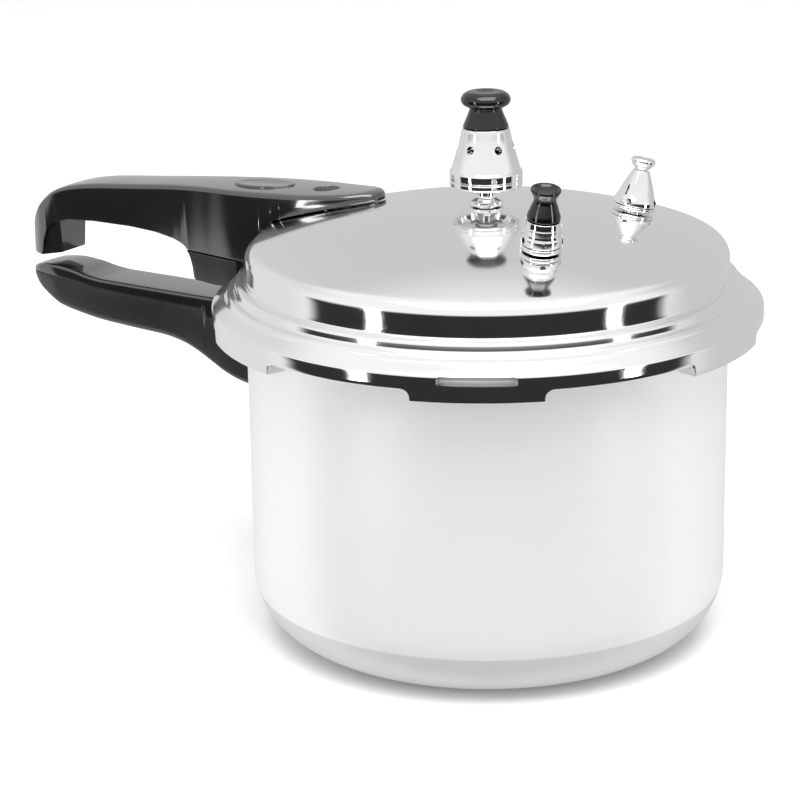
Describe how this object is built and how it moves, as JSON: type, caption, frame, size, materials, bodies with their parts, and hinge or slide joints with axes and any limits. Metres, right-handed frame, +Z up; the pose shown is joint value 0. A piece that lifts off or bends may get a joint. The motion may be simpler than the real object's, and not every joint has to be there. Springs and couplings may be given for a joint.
{
  "type": "pressure canner",
  "caption": "Stove-top aluminium pressure canner with a bayonet lid, long dark handles on pot and lid, a weighted vent and spring valves.",
  "frame": {"origin": "centre of the pot's flat underside, on the surface it stands on", "axes": "+Z up along the pot's axis, +X away from the two handles, which lie along -X; +Y completes a right-handed frame"},
  "size_m": [0.3681, 0.2342, 0.2353],
  "materials": {
    "pot_aluminium": "fine satin, turned",
    "lid_aluminium": "polished",
    "chrome": "polished",
    "steel": "brushed",
    "handle_gloss": "glossy moulded",
    "handle_satin": "semi-gloss moulded",
    "handle_inlay": "glossy plain oval",
    "knob_gloss": "glossy moulded",
    "silicone": "matte silicone"
  },
  "bodies": {
    "pot": {"pot_body": "pot_aluminium", "pot_handle_bracket": "steel", "pot_handle_rivet_1": "steel", "pot_handle_rivet_2": "steel", "pot_handle_shell": "handle_satin", "pot_handle_cover": "handle_gloss", "pot_handle_screw_1": "steel", "pot_handle_screw_2": "steel"},
    "gasket": {"sealing_gasket": "silicone"},
    "lid": {"lid_shell": "lid_aluminium", "lid_handle_bracket": "steel", "lid_handle_upper": "handle_gloss", "lid_handle_inlay": "handle_inlay", "lid_handle_lower": "handle_satin", "lid_handle_screw": "steel", "lid_handle_bolt": "steel", "vent_pipe": "chrome", "vent_washer": "silicone", "vent_nut": "steel", "vent_filter": "steel", "relief_valve_base": "chrome", "relief_valve_sleeve": "chrome", "relief_valve_washer": "silicone", "relief_valve_nut": "steel", "relief_valve_spring": "steel", "safety_valve_base": "chrome", "safety_valve_bonnet": "chrome", "safety_valve_washer": "silicone", "safety_valve_nut": "steel", "safety_valve_spring": "steel"},
    "regulator": {"regulator_weight": "chrome", "regulator_needle": "steel", "regulator_knob": "knob_gloss"},
    "relief_plunger": {"relief_valve_cap": "knob_gloss", "relief_valve_stem": "steel", "relief_valve_pad": "silicone"},
    "safety_plunger": {"safety_valve_stem": "chrome", "safety_valve_pad": "silicone"},
    "pressure_indicator": {"indicator_pin": "steel", "indicator_seal": "silicone", "indicator_clip": "steel"}
  },
  "joints": [
    {"name": "lid_lift", "type": "slide", "parent": "pot", "child": "gasket", "axis": [0, 0, 1], "range_m": [0, 0.12]},
    {"name": "lid_turn", "type": "hinge", "parent": "gasket", "child": "lid", "pos_m": [0, 0, 0.145], "axis": [0, 0, 1], "range_deg": [0, 30]},
    {"name": "regulator_lift", "type": "slide", "parent": "lid", "child": "regulator", "axis": [0, 0, 1], "range_m": [0, 0.03]},
    {"name": "relief_pop", "type": "slide", "parent": "lid", "child": "relief_plunger", "axis": [0.1479, -0.1088, 0.983], "range_m": [0, 0.0025], "stiffness_N_per_m": 400, "springref_m": -0.005, "deforming": ["relief_valve_spring"]},
    {"name": "safety_pop", "type": "slide", "parent": "lid", "child": "safety_plunger", "axis": [0.1384, 0.1427, 0.98], "range_m": [0, 0.0025], "stiffness_N_per_m": 400, "springref_m": -0.005, "deforming": ["safety_valve_spring"]},
    {"name": "indicator_rise", "type": "slide", "parent": "lid", "child": "pressure_indicator", "axis": [0, 0, 1], "range_m": [0, 0.0045]}
  ]
}
